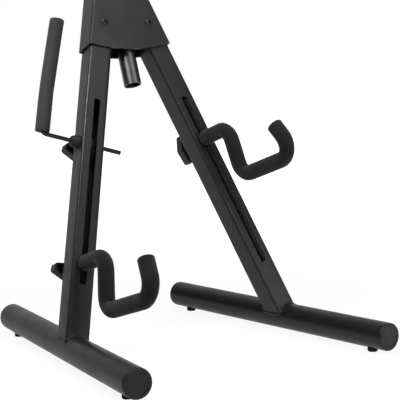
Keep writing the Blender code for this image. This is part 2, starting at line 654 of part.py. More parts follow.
def neck_rest(plane):
    """Neck tube with a plugged top that holds the foam-covered yoke."""
    slide = frame("neck_slide", plane, (0, PIVOT_RISE, 0))
    ring("neck_tube", NECK_RADIUS, NECK_RADIUS - NECK_WALL, -NECK_DROP, NECK_TOP, slide, DARK_CHROME,
         ALONG_Y, TUBE_SIDES)
    spigot = NECK_RADIUS - NECK_WALL - SEAT
    base = NECK_TOP + SEAT
    crown = base + STEM_HEAD
    profile = [(0, crown), (NECK_RADIUS - STEM_ROUND, crown), (NECK_RADIUS, crown - STEM_ROUND),
               (NECK_RADIUS, base), (spigot, base), (spigot, base - STEM_SPIGOT), (0, base - STEM_SPIGOT)]
    stem = part("yoke_stem", turned(profile, ALONG_Y), slide, BLACK_PLASTIC)
    cross_hole = moved(0, YOKE_RISE, 0) @ ALONG_X
    boolean(stem, cylinder(ROD_RADIUS + SEAT, -NECK_DIAMETER, NECK_DIAMETER, cross_hole))

    yoke = frame("yoke", slide, (0, YOKE_RISE, 0))
    corners = [(-YOKE_HALF_WIDTH, 0, YOKE_REACH), (-YOKE_HALF_WIDTH, 0, 0), (YOKE_HALF_WIDTH, 0, 0),
               (YOKE_HALF_WIDTH, 0, YOKE_REACH)]
    path = bent(corners, BEND_RADIUS)
    part("yoke_rod", swept(lengthened(path, -FOAM_CAP, -FOAM_CAP), ROD_RADIUS, ROD_SIDES), yoke, BLACK_ROD)
    for side, sign in SIDES.items():
        prong = bent([(sign * (NECK_RADIUS + SEAT), 0, 0), (sign * YOKE_HALF_WIDTH, 0, 0),
                      (sign * YOKE_HALF_WIDTH, 0, YOKE_REACH)], BEND_RADIUS)
        sleeve(f"yoke_{side}_foam", prong, FOAM_RADIUS, ROD_RADIUS, yoke, FOAM_CAP)


def stand_on_origin(root):
    """Slide the whole rack so that its box is centred over the origin; the pads already touch the floor."""
    bpy.context.view_layer.update()
    graph = bpy.context.evaluated_depsgraph_get()
    depths = []
    for piece in PARTS.objects:
        if piece.type == "MESH":
            mesh = piece.evaluated_get(graph).to_mesh()
            depths += [(piece.matrix_world @ vertex.co).y for vertex in mesh.vertices]
    root.location.y = -(min(depths) + max(depths)) / 2


def build():
    root = frame("rack")
    plane = frame("leg_plane", root, (0, 0, FOOT_AXIS_HEIGHT), (math.pi / 2 - LEAN, 0, 0))
    head(plane)
    neck_rest(plane)
    pin_hole = PIN_DIAMETER / 2 + SEAT + BUSH_WALL + SEAT
    for side, sign in SIDES.items():
        pivot = frame(side + "_leg", plane, (sign * HALF_PIVOT, PIVOT_RISE, 0), (0, 0, sign * SPREAD))
        tube = leg(side, pivot, pin_hole)
        foot(side, pivot, tube)
        if side == "left":
            side_arm(pivot, tube)
        join_doubles(tube)
        cradle(side, pivot)
    stand_on_origin(root)


build()
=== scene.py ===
"""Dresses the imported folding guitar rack: finishes, foam sleeves, weld beads, studio and camera."""
import json
import math

import bmesh
import bpy
from mathutils import Matrix, Vector


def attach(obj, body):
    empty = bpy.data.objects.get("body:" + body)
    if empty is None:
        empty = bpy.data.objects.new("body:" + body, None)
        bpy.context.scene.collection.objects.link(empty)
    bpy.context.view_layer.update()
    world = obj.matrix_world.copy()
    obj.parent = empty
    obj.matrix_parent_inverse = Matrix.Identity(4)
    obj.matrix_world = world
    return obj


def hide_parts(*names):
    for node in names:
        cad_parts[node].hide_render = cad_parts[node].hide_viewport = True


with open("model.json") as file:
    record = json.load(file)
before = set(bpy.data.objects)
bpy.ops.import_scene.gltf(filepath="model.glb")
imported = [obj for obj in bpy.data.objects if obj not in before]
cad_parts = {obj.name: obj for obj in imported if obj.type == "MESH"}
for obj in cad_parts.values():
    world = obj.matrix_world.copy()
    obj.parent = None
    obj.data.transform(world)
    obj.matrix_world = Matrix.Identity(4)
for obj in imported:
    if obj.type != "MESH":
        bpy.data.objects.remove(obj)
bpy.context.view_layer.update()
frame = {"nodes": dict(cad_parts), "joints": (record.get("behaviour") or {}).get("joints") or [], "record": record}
scene = bpy.context.scene
nodes = frame["nodes"]
joints = {joint["name"]: joint for joint in frame["joints"]}


def place_of(joint):
    """A point on a joint's axis, at rest."""
    return Vector(joints[joint]["pos_m"])


def axis_of(joint):
    """The way that a joint turns about or slides along, at rest."""
    return Vector(joints[joint]["axis"]).normalized()


# Ways and pivots, as the joints give them
HANDS = {"left": -1, "right": 1}
FRONT = axis_of("left_leg_fold")
UP = axis_of("neck_slide")
ARM_ACROSS = axis_of("arm_slide")
LEG_UP = {hand: axis_of(hand + "_cradle_slide") for hand in HANDS}
PIVOT = {hand: place_of(hand + "_leg_fold") for hand in HANDS}

# Legs and feet, in metres
HALF_LEG = 0.0167
LEG_WALL = 0.002
LEG_LENGTH = 0.473                      # foot axis to head pivot
FOOT_RADIUS = 0.01905
RIVET_EYE = 0.0016                      # radius of the rivet eye's painted shade, just past its edge
BARE_DEPTH = 0.0006                     # bare steel shows this far into the wall

# Foam sleeves
FOAM_RADIUS = 0.011
ROD_HOLE = 0.0043
ROD_BEND = 0.0205
CUT_ROUND = 0.0007                      # rounding of a sleeve's cut ends
HOLE_DEPTH = 0.004
CREASE_LIMIT = 0.0055
CREASE_SHARE = 0.9
CREASE_POWER = 1.5
FOAM_SIDES = 28
BEND_RINGS = 10
RING_SPACING = 0.006
FOAM_EDGE = math.radians(40)            # sharper edges of the foam stay hard
NEAR_PLANE = 0.0001                     # picks points that lie on a plane
JUST_OVER = 1.01                        # picks points within a radius, with those on it
DOUBLES = 0.00002

# Cradles
CRADLE_START = 0.0028                   # leg face to the sleeve's cut end
CRADLE_REACH = 0.0631                   # leg face to the drop
CRADLE_DROP = 0.0725
CRADLE_RUN = 0.1267
CRADLE_TIP = 0.0535
CRADLE_DROOP = math.radians(3.5)
CRADLE_TWISTS = {"left": math.radians(7.6), "right": math.radians(-8.8)}
CRADLE_TIP_LEANS = {"left": math.radians(21.2), "right": math.radians(28.4)}

# Side arm
ARM_REACH = 0.0729                      # leg centre to the post
ARM_LEAN = math.radians(6.4)
POST_FOAM_RADIUS = 0.01015
POST_ROD_HOLE = 0.0035
POST_BEND = 1.2                         # radius of the foam's slight bow
POST_BOW = ((0.0026, 0.0019), (0.0600, -0.0006), (0.1662, 0.0006))  # rise up the post, shift to the leg
LIT_SIDE_SLANT = 0.04                        # painted side light gets less, up the post
LIT_SIDE_REACH = (-0.008, 0.010)             # inner side to outer side, across which the painted side light fades in
POST_UP = Matrix.Rotation(ARM_LEAN, 3, ARM_ACROSS) @ LEG_UP["left"]
POST_FOOT = place_of("arm_swing") - ARM_ACROSS * ARM_REACH

# Neck yoke
NECK_LENGTH = 0.457
NECK_DROP = 0.0898                      # pivot down to the tube's open end
STEM_HEAD = 0.028
SEAT = 0.0003
YOKE_RISE = NECK_LENGTH - NECK_DROP + SEAT + STEM_HEAD / 2
YOKE_ROOT = 0.013                       # centre line to the sleeve's inner end
YOKE_HALF_WIDTH = 0.041
YOKE_REACH = 0.085

# Weld beads
BEAD_RADIUS = 0.0021
BEAD_FACETS = 3
BEAD_POINTS = 144
BEAD_RIPPLES = 36
RIPPLE_HEIGHT = 0.10                    # share of the bead's radius
SQUARENESS = 10                         # power of the outline that rounds the tube's corners

# Camera, fitted to the photo
CAMERA_PLACE = (-0.8402, -1.3706, 0.3685)
CAMERA_YAW = math.radians(33.3413)
CAMERA_PITCH = math.radians(5.8948)
CAMERA_ROLL = math.radians(1.1379)
FOCAL_LENGTH = 1146.1423                # in pixels of the photo
PHOTO_WIDTH = 400                       # in pixels
SENSOR_WIDTH = 36                       # in millimetres
NEAREST_SEEN = 0.05


def aim_camera():
    """Stand the camera where the photo was taken from."""
    level = Vector((math.cos(CAMERA_YAW), -math.sin(CAMERA_YAW), 0))
    behind = Vector((math.sin(CAMERA_YAW), math.cos(CAMERA_YAW), 0))
    ahead = behind * math.cos(CAMERA_PITCH) - Vector((0, 0, math.sin(CAMERA_PITCH)))
    below = ahead.cross(level)
    side = level * math.cos(CAMERA_ROLL) + below * math.sin(CAMERA_ROLL)
    down = below * math.cos(CAMERA_ROLL) - level * math.sin(CAMERA_ROLL)
    lens = bpy.data.cameras.new("camera")
    lens.sensor_width = SENSOR_WIDTH
    lens.lens = FOCAL_LENGTH * SENSOR_WIDTH / PHOTO_WIDTH
    lens.clip_start = NEAREST_SEEN
    camera = bpy.data.objects.new("camera", lens)
    scene.collection.objects.link(camera)
    aim = Matrix((side, -down, -ahead)).transposed().to_4x4()
    camera.matrix_world = Matrix.Translation(CAMERA_PLACE) @ aim
    scene.camera = camera


aim_camera()
scene.view_settings.view_transform = "Standard"


# Steps that finishes are made of

PATTERN_SPAN = (0.3, 0.7)               # part of a pattern's range that its two values are laid over


def shader_of(material):
    """The Principled shader of a finish."""
    return material.node_tree.nodes["Principled BSDF"]


def new_finish(name, colour, roughness, metallic=0.0):
    """A Principled finish that starts with even values on its sockets."""
    material = bpy.data.materials.new(name)
    material.use_nodes = True
    shader = shader_of(material)
    shader.inputs["Base Color"].default_value = (*colour, 1)
    shader.inputs["Roughness"].default_value = roughness
    shader.inputs["Metallic"].default_value = metallic
    return material


def on_piece(tree):
    """Places on the piece, which a finish's patterns are laid on."""
    return tree.nodes.new("ShaderNodeTexCoord").outputs["Object"]


def grain(tree, scale, detail=3.0, stretch=None, turn=(0, 0, 0)):
    """Noise over the surface, stretched along one way where a finish has a direction."""
    place = on_piece(tree)
    if stretch:
        mapping = tree.nodes.new("ShaderNodeMapping")
        mapping.inputs["Rotation"].default_value = turn
        mapping.inputs["Scale"].default_value = stretch
        tree.links.new(place, mapping.inputs["Vector"])
        place = mapping.outputs["Vector"]
    noise = tree.nodes.new("ShaderNodeTexNoise")
    noise.inputs["Scale"].default_value = scale
    noise.inputs["Detail"].default_value = detail
    tree.links.new(place, noise.inputs["Vector"])
    return noise.outputs["Fac"]


def spread(material, pattern, socket, low, high):
    """Lay a colour or number between two values over one of the shader's sockets, by a pattern."""
    tree = material.node_tree
    ramp = tree.nodes.new("ShaderNodeValToRGB")
    for element, position, value in zip(ramp.color_ramp.elements, PATTERN_SPAN, (low, high)):
        element.position = position
        element.color = (*value, 1) if isinstance(value, tuple) else (value, value, value, 1)
    tree.links.new(pattern, ramp.inputs["Fac"])
    tree.links.new(ramp.outputs["Color"], shader_of(material).inputs[socket])


def relief(material, pattern, strength, depth):
    """Surface texture by bump, on top of the one before it."""
    tree = material.node_tree
    normal = shader_of(material).inputs["Normal"]
    bump = tree.nodes.new("ShaderNodeBump")
    bump.inputs["Strength"].default_value = strength
    bump.inputs["Distance"].default_value = depth
    tree.links.new(pattern, bump.inputs["Height"])
    if normal.links:
        tree.links.new(normal.links[0].from_socket, bump.inputs["Normal"])
    tree.links.new(bump.outputs["Normal"], normal)


def vector_step(tree, operation, socket, vector=(0, 0, 0)):
    """One step of vector arithmetic on a socket and a fixed vector."""
    step = tree.nodes.new("ShaderNodeVectorMath")
    step.operation = operation
    tree.links.new(socket, step.inputs[0])
    step.inputs[1].default_value = vector
    return step.outputs["Value" if operation in ("DOT_PRODUCT", "LENGTH") else "Vector"]


def number_step(tree, operation, socket, value=0.0):
    """One step of arithmetic on a socket and either another socket or a fixed number."""
    step = tree.nodes.new("ShaderNodeMath")
    step.operation = operation
    tree.links.new(socket, step.inputs[0])
    if isinstance(value, float):
        step.inputs[1].default_value = value
    else:
        tree.links.new(value, step.inputs[1])
    return step.outputs["Value"]


def fade(tree, socket, start, end, low, high, interpolation="SMOOTHSTEP"):
    """A number that goes from low to high while another goes from start to end."""
    ramp = tree.nodes.new("ShaderNodeMapRange")
    ramp.interpolation_type = interpolation
    ramp.inputs["From Min"].default_value = start
    ramp.inputs["From Max"].default_value = end
    ramp.inputs["To Min"].default_value = low
    ramp.inputs["To Max"].default_value = high
    tree.links.new(socket, ramp.inputs["Value"])
    return ramp.outputs["Result"]


def patch(material, mask, colour):
    """Another colour over the finish's own, as far as a mask goes."""
    tree = material.node_tree
    paint = shader_of(material).inputs["Base Color"]
    mix = tree.nodes.new("ShaderNodeMix")
    mix.data_type = "RGBA"
    own, other = [socket for socket in mix.inputs if socket.type == "RGBA"]
    mixed = [socket for socket in mix.outputs if socket.type == "RGBA"][0]
    tree.links.new(mask, mix.inputs["Factor"])
    tree.links.new(paint.links[0].from_socket, own)
    other.default_value = (*colour, 1)
    tree.links.new(mixed, paint)


# Finishes

COAT_SPECULAR = 0.45
LEG_TONES = ((0.0205, 0.0183, 0.0208), (0.0245, 0.0220, 0.0248))
HEAD_TONES = ((0.0172, 0.0154, 0.0175), (0.0206, 0.0185, 0.0209))
FOOT_TONES = ((0.0135, 0.0126, 0.0131), (0.0170, 0.0160, 0.0164))
ROD_TONES = ((0.0105, 0.0105, 0.0105), (0.0145, 0.0145, 0.0145))
NECK_TONES = ((0.165, 0.159, 0.148), (0.21, 0.203, 0.188))
BOLT_TONES = ((0.34, 0.34, 0.35), (0.46, 0.46, 0.47))
KNOB_TONES = ((0.0140, 0.0136, 0.0140), (0.0185, 0.0180, 0.0185))
CAP_TONES = ((0.0135, 0.0130, 0.0135), (0.0175, 0.0170, 0.0175))
COLLAR_TONES = ((0.0085, 0.0083, 0.0085), (0.0115, 0.0112, 0.0115))
PAD_TONES = ((0.011, 0.011, 0.011), (0.016, 0.016, 0.016))
FOAM_TONES = ((0.0112, 0.0108, 0.0097), (0.0165, 0.0160, 0.0146))
POST_FOAM_TONES = ((0.0270, 0.0267, 0.0263), (0.0350, 0.0346, 0.0340))
BARE_STEEL = (0.08, 0.077, 0.078)
# painted shade for the hollow rivets' holes
PAINTED_EYE_SHADE = (0.002, 0.002, 0.002)
# painted light in the knobs' closed-in hollows
PAINTED_HOLLOW_LIGHT = (0.075, 0.073, 0.074)
# painted light on the side arm foam's outer side
PAINTED_SIDE_LIGHT = (0.080, 0.079, 0.078)
LEG_GLOSS = (0.30, 0.38)                # each gloss is a range of roughness
FOAM_GLOSS = (0.74, 0.92)
HOLLOW_REACH = 0.012                    # how near a wall has to be to close a knob's hollow in
HOLLOW_LIGHT = 0.35                     # a hollow is where less than this share of light comes in


def powder_coat(name, tones, gloss):
    """Baked powder paint: fine orange peel, faint cloudiness and patchy gloss."""
    material = new_finish(name, tones[0], gloss[0])
    tree = material.node_tree
    spread(material, grain(tree, scale=14.0), "Base Color", *tones)
    spread(material, grain(tree, scale=42.0), "Roughness", *gloss)
    relief(material, grain(tree, scale=700.0, detail=2.0), strength=0.10, depth=0.0004)
    relief(material, grain(tree, scale=2600.0, detail=1.0), strength=0.06, depth=0.0002)
    shader_of(material).inputs["Specular IOR Level"].default_value = COAT_SPECULAR
    return material


def leg_coat(hand):
    """Painted square tube whose inside, seen through the slot, stays bare grey steel."""
    material = powder_coat(hand + "_leg_powder_coat", LEG_TONES, LEG_GLOSS)
    tree = material.node_tree
    from_pivot = vector_step(tree, "SUBTRACT", on_piece(tree), PIVOT[hand])
    across = vector_step(tree, "DOT_PRODUCT", from_pivot, LEG_UP[hand].cross(FRONT))
    forward = vector_step(tree, "DOT_PRODUCT", from_pivot, FRONT)
    widest = number_step(tree, "MAXIMUM", number_step(tree, "ABSOLUTE", across),
                         number_step(tree, "ABSOLUTE", forward))
    inside = number_step(tree, "LESS_THAN", widest, HALF_LEG - LEG_WALL + BARE_DEPTH)
    patch(material, inside, BARE_STEEL)
    return material


def rivet_coat(hand):
    """Painted hollow rivet whose hole is painted shade: a dark eye without gloss."""
    material = powder_coat(hand + "_rivet_powder_coat", HEAD_TONES, LEG_GLOSS)
    tree = material.node_tree
    from_pivot = vector_step(tree, "SUBTRACT", on_piece(tree), PIVOT[hand])
    reach = vector_step(tree, "LENGTH", vector_step(tree, "CROSS_PRODUCT", from_pivot, FRONT))
    # painted shade where the rivet's hole is, with its gloss taken off
    patch(material, number_step(tree, "LESS_THAN", reach, RIVET_EYE), PAINTED_EYE_SHADE)
    rim = number_step(tree, "GREATER_THAN", reach, RIVET_EYE)
    shine = number_step(tree, "MULTIPLY", rim, COAT_SPECULAR)
    tree.links.new(shine, shader_of(material).inputs["Specular IOR Level"])
    return material


def drawn_steel(name, tones, gloss):
    """Bare drawn steel with fine lines along the neck tube's way."""
    material = new_finish(name, tones[0], gloss[0], metallic=1.0)
    along_tube = (math.acos(UP.z), 0, 0)
    lines = grain(material.node_tree, scale=60.0, stretch=(9.0, 9.0, 0.10), turn=along_tube)
    spread(material, lines, "Base Color", *tones)
    spread(material, lines, "Roughness", *gloss)
    relief(material, lines, strength=0.02, depth=0.0001)
    return material


def moulded_plastic(name, tones, gloss, sparkle):
    """Moulded plastic or rubber with a fine spark-eroded grain."""
    material = new_finish(name, tones[0], gloss[0])
    tree = material.node_tree
    spread(material, grain(tree, scale=60.0), "Base Color", *tones)
    spread(material, grain(tree, scale=160.0), "Roughness", *gloss)
    relief(material, grain(tree, scale=1500.0, detail=2.0), strength=sparkle, depth=0.0003)
    return material


def knob_plastic():
    """Knob plastic with painted light in its moulded hollows, which makes them paler."""
    material = moulded_plastic("knob_plastic", KNOB_TONES, gloss=(0.42, 0.56), sparkle=0.12)
    tree = material.node_tree
    hollow = tree.nodes.new("ShaderNodeAmbientOcclusion")
    hollow.inputs["Distance"].default_value = HOLLOW_REACH
    # painted light: paler colour where little light comes in
    patch(material, number_step(tree, "LESS_THAN", hollow.outputs["AO"], HOLLOW_LIGHT), PAINTED_HOLLOW_LIGHT)
    return material


def foam_skin(name, tones):
    """Closed-cell foam: dull skin with tiny pores, larger soft mottling and a faint bloom of dust."""
    material = new_finish(name, tones[0], roughness=0.85)
    tree = material.node_tree
    spread(material, grain(tree, scale=45.0, detail=4.0), "Base Color", *tones)
    spread(material, grain(tree, scale=90.0), "Roughness", *FOAM_GLOSS)
    pores = tree.nodes.new("ShaderNodeTexVoronoi")
    pores.inputs["Scale"].default_value = 1100.0
    tree.links.new(on_piece(tree), pores.inputs["Vector"])
    relief(material, pores.outputs["Distance"], strength=0.25, depth=0.0004)
    relief(material, grain(tree, scale=120.0, detail=4.0), strength=0.12, depth=0.0012)
    shader = shader_of(material)
    shader.inputs["Sheen Weight"].default_value = 0.25
    shader.inputs["Sheen Roughness"].default_value = 0.45
    shader.inputs["Specular IOR Level"].default_value = 0.3
    return material


def post_foam_skin():
    """The side arm's foam, with painted light paling its outer side, more so lower down."""
    material = foam_skin("post_foam_skin", POST_FOAM_TONES)
    tree = material.node_tree
    from_foot = vector_step(tree, "SUBTRACT", on_piece(tree), POST_FOOT)
    # painted light: the outer side is paled as though lit from there
    outward = vector_step(tree, "DOT_PRODUCT", from_foot, -ARM_ACROSS - POST_UP * LIT_SIDE_SLANT)
    side_light_mask = fade(tree, outward, *LIT_SIDE_REACH, 0.0, 1.0, "LINEAR")
    patch(material, side_light_mask, PAINTED_SIDE_LIGHT)
    return material


LEG_COAT = powder_coat("leg_powder_coat", LEG_TONES, LEG_GLOSS)
HEAD_COAT = powder_coat("head_powder_coat", HEAD_TONES, LEG_GLOSS)
CAP_PLASTIC = moulded_plastic("cap_plastic", CAP_TONES, gloss=(0.40, 0.52), sparkle=0.10)
COLLAR_PLASTIC = moulded_plastic("collar_plastic", COLLAR_TONES, gloss=(0.46, 0.58), sparkle=0.10)
FOAM_SKIN = foam_skin("foam_skin", FOAM_TONES)
POST_FOAM_SKIN = post_foam_skin()
SLOT_FINISHES = {
    "leg_coat": LEG_COAT,
    "foot_coat": powder_coat("foot_powder_coat", FOOT_TONES, gloss=(0.32, 0.42)),
    "neck_steel": drawn_steel("neck_tube_steel", NECK_TONES, gloss=(0.34, 0.42)),
    "plain_steel": drawn_steel("bolt_steel", BOLT_TONES, gloss=(0.32, 0.46)),
    "black_rod": powder_coat("rod_black_paint", ROD_TONES, gloss=(0.28, 0.36)),
    "black_plastic": knob_plastic(),
    "pad_rubber": moulded_plastic("pad_rubber", PAD_TONES, gloss=(0.70, 0.85), sparkle=0.18),
    "foam": FOAM_SKIN,
}
SLOTS = {entry["node"]: entry["material_slot"] for entry in frame["record"]["subparts"]}


# CAD nodes

TRIANGLE_JOIN = 0.00001
HARD_EDGE = math.radians(32)


def smooth_rounds():
    """Nodes that join a CAD node's loose triangles and shade its rounds smooth, keeping hard edges."""
    group = bpy.data.node_groups.new("smooth_rounds", "GeometryNodeTree")
    group.interface.new_socket("Geometry", in_out="INPUT", socket_type="NodeSocketGeometry")
    group.interface.new_socket("Geometry", in_out="OUTPUT", socket_type="NodeSocketGeometry")
    start = group.nodes.new("NodeGroupInput")
    bare = group.nodes.new("GeometryNodeRemoveAttribute")
    bare.inputs["Name"].default_value = "custom_normal"
    merge = group.nodes.new("GeometryNodeMergeByDistance")
    merge.inputs["Distance"].default_value = TRIANGLE_JOIN
    soft = group.nodes.new("GeometryNodeSetShadeSmooth")
    hard = group.nodes.new("GeometryNodeSetShadeSmooth")
    hard.domain = "EDGE"
    hard.inputs["Shade Smooth"].default_value = False
    angle = group.nodes.new("GeometryNodeInputMeshEdgeAngle")
    sharp = group.nodes.new("FunctionNodeCompare")
    sharp.inputs["B"].default_value = HARD_EDGE
    end = group.nodes.new("NodeGroupOutput")
    for source, target in ((start, bare), (bare, merge), (merge, soft), (soft, hard), (hard, end)):
        group.links.new(source.outputs["Geometry"], target.inputs["Geometry"])
    group.links.new(angle.outputs["Unsigned Angle"], sharp.inputs["A"])
    group.links.new(sharp.outputs["Result"], hard.inputs["Selection"])
    return group


def finish_for(name):
    """A node's own finish where it has one, and otherwise the finish of its slot."""
    hand = name.split("_")[0]
    if "_leg_tube" in name:
        return leg_coat(hand)
    if "_pivot_pin" in name:
        return rivet_coat(hand)
    if "head_" in name:
        return HEAD_COAT
    if "_cap" in name:
        return CAP_PLASTIC
    if "_collar" in name:
        return COLLAR_PLASTIC
    return SLOT_FINISHES[SLOTS[name]]


def dress_nodes():
    """Give every CAD node its finish and smooth shading."""
    rounds = smooth_rounds()
    for name, node in nodes.items():
        node.data.materials.clear()
        node.data.materials.append(finish_for(name))
        node.modifiers.new("smooth_rounds", "NODES").node_group = rounds
        flats = node.modifiers.new("flat_faces", "WEIGHTED_NORMAL")
        flats.mode = "FACE_AREA"
        flats.keep_sharp = True


dress_nodes()


# Foam sleeves

def start_fresh():
    """Go back to object mode with nothing selected."""
    if bpy.context.object and bpy.context.object.mode != "OBJECT":
        bpy.ops.object.mode_set(mode="OBJECT")
    bpy.ops.object.select_all(action="DESELECT")


def pick(choose):
    """Select the edit mesh's vertices that a test picks, and nothing else."""
    bpy.ops.mesh.select_all(action="DESELECT")
    bpy.ops.mesh.select_mode(type="VERT")
    work = bmesh.from_edit_mesh(bpy.context.object.data)
    for vertex in work.verts:
        vertex.select = choose(vertex.co)
    work.select_flush(True)
    bmesh.update_edit_mesh(bpy.context.object.data)


def pick_cut(end, way, radius):
    """Select the points of a sleeve's flat end."""
    pick(lambda co: abs((co - end).dot(way)) < NEAR_PLANE and (co - end).length < radius)


def foam_disc(name, place, way, radius):
    """The flat end that a sleeve grows from, opened in edit mode."""
    start_fresh()
    bpy.ops.mesh.primitive_circle_add(vertices=FOAM_SIDES, radius=radius, fill_type="NGON")
    disc = bpy.context.object
    disc.name = name
    disc.rotation_euler = way.to_track_quat("Z", "Y").to_euler()
    disc.location = place
    bpy.ops.object.transform_apply(location=True, rotation=True, scale=True)
    bpy.ops.object.mode_set(mode="EDIT")
    bpy.ops.mesh.select_all(action="SELECT")
    return disc


def push_along(corners, ways, bend):
    """Extrude the end down each straight run and spin it round each corner; returns the bends."""
    bends = []
    here = corners[0]
    for step, way in enumerate(ways):
        corner = corners[step + 1]
        last = step + 1 == len(ways)
        angle = 0.0 if last else way.angle(ways[step + 1])
        cut = bend * math.tan(angle / 2)
        run = corner - way * cut - here
        count = max(2, round(run.length / RING_SPACING))
        for _ in range(count):
            bpy.ops.mesh.extrude_region_move(TRANSFORM_OT_translate={"value": run / count})
        if not last:
            axis = way.cross(ways[step + 1]).normalized()
            centre = corner - way * cut + axis.cross(way) * bend
            bpy.ops.mesh.spin(steps=BEND_RINGS, angle=-angle, center=centre, axis=axis)
            bends.append((centre, axis, way, angle))
            here = corner + ways[step + 1] * cut
    bpy.ops.mesh.select_all(action="SELECT")
    bpy.ops.mesh.remove_doubles(threshold=DOUBLES)
    bpy.ops.mesh.normals_make_consistent(inside=False)
    return bends


def squeeze_bend(centre, axis, way, angle, radius, bend):
    """Press the foam on the inside of a bend against the rod, so that the straight runs meet in a crease."""
    entry = way.cross(axis)
    work = bmesh.from_edit_mesh(bpy.context.object.data)
    for vertex in work.verts:
        arm = vertex.co - centre
        if abs(arm.dot(axis)) > radius * JUST_OVER:
            continue
        arm -= axis * arm.dot(axis)
        turned = math.atan2(arm.dot(way), arm.dot(entry))
        inside = (bend - arm.length) / radius
        if 0 < turned < angle and 0 < inside < JUST_OVER:
            nearest = min(turned, angle - turned)
            crease = (bend - radius) * (1 / math.cos(nearest) - 1)
            press = min(crease, CREASE_LIMIT) * inside ** CREASE_POWER * CREASE_SHARE
            vertex.co += arm.normalized() * press
    bmesh.update_edit_mesh(bpy.context.object.data)


def finish_ends(corners, ways, radius, rod_hole):
    """Round both cut ends and sink the rod's hole into the first."""
    for end, way in ((corners[0], ways[0]), (corners[-1], ways[-1])):
        pick_cut(end, way, radius * JUST_OVER)
        bpy.ops.mesh.bevel(offset=CUT_ROUND, segments=2, affect="EDGES")
    pick_cut(corners[0], ways[0], radius)
    bpy.ops.mesh.select_mode(type="FACE")
    bpy.ops.mesh.inset(thickness=radius - CUT_ROUND - rod_hole)
    bpy.ops.mesh.extrude_region_move(TRANSFORM_OT_translate={"value": ways[0] * HOLE_DEPTH})


def foam_sleeve(name, corners, body, node, radius=FOAM_RADIUS, bend=ROD_BEND, rod_hole=ROD_HOLE,
                skin=FOAM_SKIN):
    """Foam tube pushed over a bent rod: rounded cut ends, squeezed on the inside of each bend."""
    ways = [(after - before).normalized() for before, after in zip(corners, corners[1:])]
    sleeve = foam_disc(name, corners[0], ways[0], radius)
    for centre, axis, way, angle in push_along(corners, ways, bend):
        squeeze_bend(centre, axis, way, angle, radius, bend)
    finish_ends(corners, ways, radius, rod_hole)
    bpy.ops.object.mode_set(mode="OBJECT")
    bpy.ops.object.shade_smooth_by_angle(angle=FOAM_EDGE)
    sleeve.data.materials.append(skin)
    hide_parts(node)
    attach(sleeve, body)


def cradle_sleeve(hand):
    """Foam on a cradle's rod: out from the leg, down, forward and up to the tip."""
    shank_up = Matrix.Rotation(CRADLE_TWISTS[hand], 3, FRONT) @ LEG_UP[hand]
    droop = Matrix.Rotation(CRADLE_DROOP, 3, shank_up.cross(FRONT))
    ahead = droop @ FRONT
    above = droop @ shank_up
    lean = CRADLE_TIP_LEANS[hand]
    leg_face = place_of(hand + "_cradle_twist") + FRONT * HALF_LEG
    start = leg_face + ahead * CRADLE_START
    drop_top = leg_face + ahead * CRADLE_REACH
    drop_foot = drop_top - above * CRADLE_DROP
    run_end = drop_foot + ahead * CRADLE_RUN
    tip = run_end + (above * math.cos(lean) - ahead * math.sin(lean)) * CRADLE_TIP
    foam_sleeve(hand + "_cradle_sleeve", [start, drop_top, drop_foot, run_end, tip],
                hand + "_cradle", hand + "_cradle_foam")


def post_sleeve():
    """Slightly bowed foam on the side arm's post."""
    bowed = [POST_FOOT + POST_UP * rise + ARM_ACROSS * shift for rise, shift in POST_BOW]
    foam_sleeve("side_arm_sleeve", bowed, "side_arm", "arm_foam", radius=POST_FOAM_RADIUS, bend=POST_BEND,
                rod_hole=POST_ROD_HOLE, skin=POST_FOAM_SKIN)


def yoke_sleeve(hand, sign):
    """Foam on one prong of the neck yoke."""
    middle = Vector((0, PIVOT["left"].y, PIVOT["left"].z)) + UP * YOKE_RISE
    root = middle + Vector((sign * YOKE_ROOT, 0, 0))
    corner = middle + Vector((sign * YOKE_HALF_WIDTH, 0, 0))
    foam_sleeve(f"yoke_{hand}_sleeve", [root, corner, corner + FRONT * YOKE_REACH],
                "neck_rest", f"yoke_{hand}_foam")


for hand in HANDS:
    cradle_sleeve(hand)
post_sleeve()
for hand, sign in HANDS.items():
    yoke_sleeve(hand, sign)


# Weld beads

def weld_bead(hand):
    """Painted bead round the seam where a square leg is coped onto its round foot."""
    leg_up = LEG_UP[hand]
    across = leg_up.cross(FRONT)
    foot_way = (FRONT - leg_up * (FRONT.z / leg_up.z)).normalized()
    base = PIVOT[hand] - leg_up * LEG_LENGTH
    climb = leg_up - foot_way * leg_up.dot(foot_way)
    path = bpy.data.curves.new(hand + "_weld_bead", "CURVE")
    path.dimensions = "3D"
    path.bevel_depth = BEAD_RADIUS
    path.bevel_resolution = BEAD_FACETS
    seam = path.splines.new("POLY")
    seam.use_cyclic_u = True
    seam.points.add(BEAD_POINTS - 1)
    for step, point in enumerate(seam.points):
        angle = 2 * math.pi * step / BEAD_POINTS
        x, y = math.cos(angle), math.sin(angle)
        reach = HALF_LEG / (abs(x) ** SQUARENESS + abs(y) ** SQUARENESS) ** (1 / SQUARENESS)
        offset = (across * x + FRONT * y) * reach
        out = offset - foot_way * offset.dot(foot_way)
        half = out.dot(climb) / climb.length_squared
        rise = math.sqrt(half ** 2 - (out.length_squared - FOOT_RADIUS ** 2) / climb.length_squared) - half
        point.co = (*(base + offset + leg_up * rise), 1)
        point.radius = 1 + RIPPLE_HEIGHT * math.sin(angle * BEAD_RIPPLES)
    start_fresh()
    bead = bpy.data.objects.new(hand + "_weld_bead", path)
    scene.collection.objects.link(bead)
    bpy.context.view_layer.objects.active = bead
    bead.select_set(True)
    bpy.ops.object.convert(target="MESH")
    bead = bpy.context.object
    bpy.ops.object.shade_smooth()
    bead.data.materials.append(LEG_COAT)
    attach(bead, hand + "_leg")


for hand in HANDS:
    weld_bead(hand)


# Studio floor, backdrop and lights

